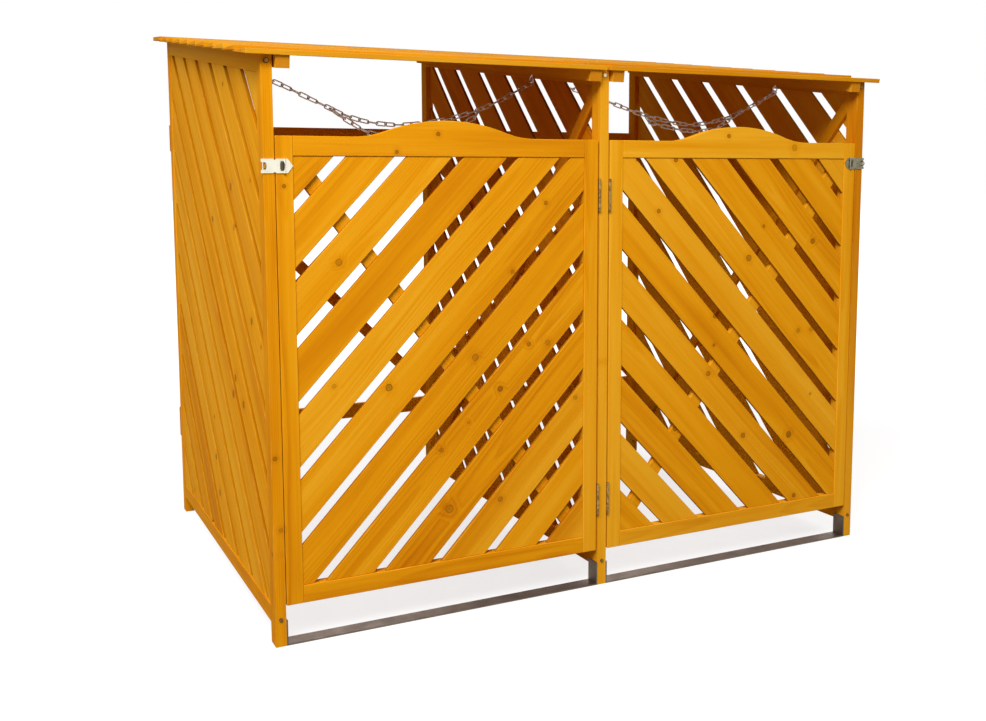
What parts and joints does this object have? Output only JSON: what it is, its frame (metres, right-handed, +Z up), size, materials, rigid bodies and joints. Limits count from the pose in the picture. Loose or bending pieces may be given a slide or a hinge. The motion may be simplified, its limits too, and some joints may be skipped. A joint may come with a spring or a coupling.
{
  "type": "wheelie bin store",
  "caption": "Free-standing slatted timber bin store with two bays, arched doors hung on the centre post, lifting lapped-board lids, hasps and lid chains.",
  "frame": {"origin": "on the ground, under the middle of the roof's outline", "axes": "+X along the front to the right, -Y out of the doors, +Z up"},
  "size_m": [1.562, 1.048, 1.3031],
  "materials": {
    "frame_wood": "honey-stained softwood, satin",
    "slat_wood": "honey-stained softwood, satin",
    "roof_wood": "honey-stained featheredge boards, satin",
    "zinc_plate": "bright zinc plated",
    "hinge_steel": "yellow-zinc plated, dull",
    "strap_steel": "galvanised, dull",
    "screw_steel": "yellow-zinc plated",
    "chain_steel": "zinc plated, aged"
  },
  "bodies": {
    "frame": {"left_front_post": "frame_wood", "centre_front_post": "frame_wood", "right_front_post": "frame_wood", "rear_posts": "frame_wood", "left_panel_top_rail": "frame_wood", "left_panel_bottom_rail": "frame_wood", "left_panel_slats": "slat_wood", "left_panel_brace": "frame_wood", "divider_top_rail": "frame_wood", "divider_bottom_rail": "frame_wood", "divider_slats": "slat_wood", "divider_brace": "frame_wood", "right_panel_top_rail": "frame_wood", "right_panel_bottom_rail": "frame_wood", "right_panel_slats": "slat_wood", "right_panel_brace": "frame_wood", "left_rear_rails": "frame_wood", "left_rear_braces": "frame_wood", "left_hinge_rail": "frame_wood", "right_rear_rails": "frame_wood", "right_rear_braces": "frame_wood", "right_hinge_rail": "frame_wood", "floor_straps": "strap_steel", "frame_screws": "screw_steel", "door_hinge_post_leaves": "hinge_steel", "door_hinge_pins": "hinge_steel", "hasp_staples": "zinc_plate", "lid_hinge_frame_leaves": "hinge_steel", "lid_hinge_pins": "hinge_steel"},
    "left_door": {"left_door_latch_stile": "frame_wood", "left_door_hinge_stile": "frame_wood", "left_door_top_rail": "frame_wood", "left_door_bottom_rail": "frame_wood", "left_door_slats": "slat_wood", "left_door_brace": "frame_wood", "left_door_hinge_leaves": "hinge_steel", "left_hasp_plate": "zinc_plate"},
    "left_hasp": {"left_hasp_strap": "zinc_plate"},
    "left_lid": {"left_lid_boards": "roof_wood", "left_lid_battens": "frame_wood", "left_lid_hinge_leaves": "hinge_steel", "left_screw_eyes": "chain_steel"},
    "left_chain": {"left_chain": "chain_steel", "left_snap_hook": "chain_steel"},
    "right_door": {"right_door_latch_stile": "frame_wood", "right_door_hinge_stile": "frame_wood", "right_door_top_rail": "frame_wood", "right_door_bottom_rail": "frame_wood", "right_door_slats": "slat_wood", "right_door_brace": "frame_wood", "right_door_hinge_leaves": "hinge_steel", "right_hasp_plate": "zinc_plate"},
    "right_hasp": {"right_hasp_strap": "zinc_plate"},
    "right_lid": {"right_lid_boards": "roof_wood", "right_lid_battens": "frame_wood", "right_lid_hinge_leaves": "hinge_steel", "right_screw_eyes": "chain_steel"},
    "right_chain": {"right_chain": "chain_steel", "right_snap_hook": "chain_steel"}
  },
  "joints": [
    {"name": "left_door_swing", "type": "hinge", "parent": "frame", "child": "left_door", "pos_m": [-0.013, -0.508, 0.539], "axis": [0, 0, 1], "range_deg": [0, 90]},
    {"name": "left_hasp_swing", "type": "hinge", "parent": "left_door", "child": "left_hasp", "pos_m": [-0.709, -0.5077, 0.94], "axis": [0, 0, 1], "range_deg": [0, 170]},
    {"name": "left_lid_lift", "type": "hinge", "parent": "frame", "child": "left_lid", "pos_m": [-0.3695, 0.498, 1.28724], "axis": [-1, 0, 0], "range_deg": [0, 95]},
    {"name": "left_chain_hang", "type": "hinge", "parent": "left_lid", "child": "left_chain", "pos_m": [-0.3695, -0.22844, 1.1502], "axis": [-1, 0, 0], "range_deg": [-95, 0]},
    {"name": "right_door_swing", "type": "hinge", "parent": "frame", "child": "right_door", "pos_m": [0.013, -0.508, 0.539], "axis": [0, 0, -1], "range_deg": [0, 90]},
    {"name": "right_hasp_swing", "type": "hinge", "parent": "right_door", "child": "right_hasp", "pos_m": [0.709, -0.5077, 0.948], "axis": [0, 0, -1], "range_deg": [0, 170]},
    {"name": "right_lid_lift", "type": "hinge", "parent": "frame", "child": "right_lid", "pos_m": [0.3695, 0.498, 1.28724], "axis": [-1, 0, 0], "range_deg": [0, 95]},
    {"name": "right_chain_hang", "type": "hinge", "parent": "right_lid", "child": "right_chain", "pos_m": [0.3695, -0.22844, 1.1502], "axis": [-1, 0, 0], "range_deg": [-95, 0]}
  ],
  "couplings": [
    {"joint": "left_chain_hang", "follows": "left_lid_lift", "ratio": -1},
    {"joint": "right_chain_hang", "follows": "right_lid_lift", "ratio": -1}
  ]
}
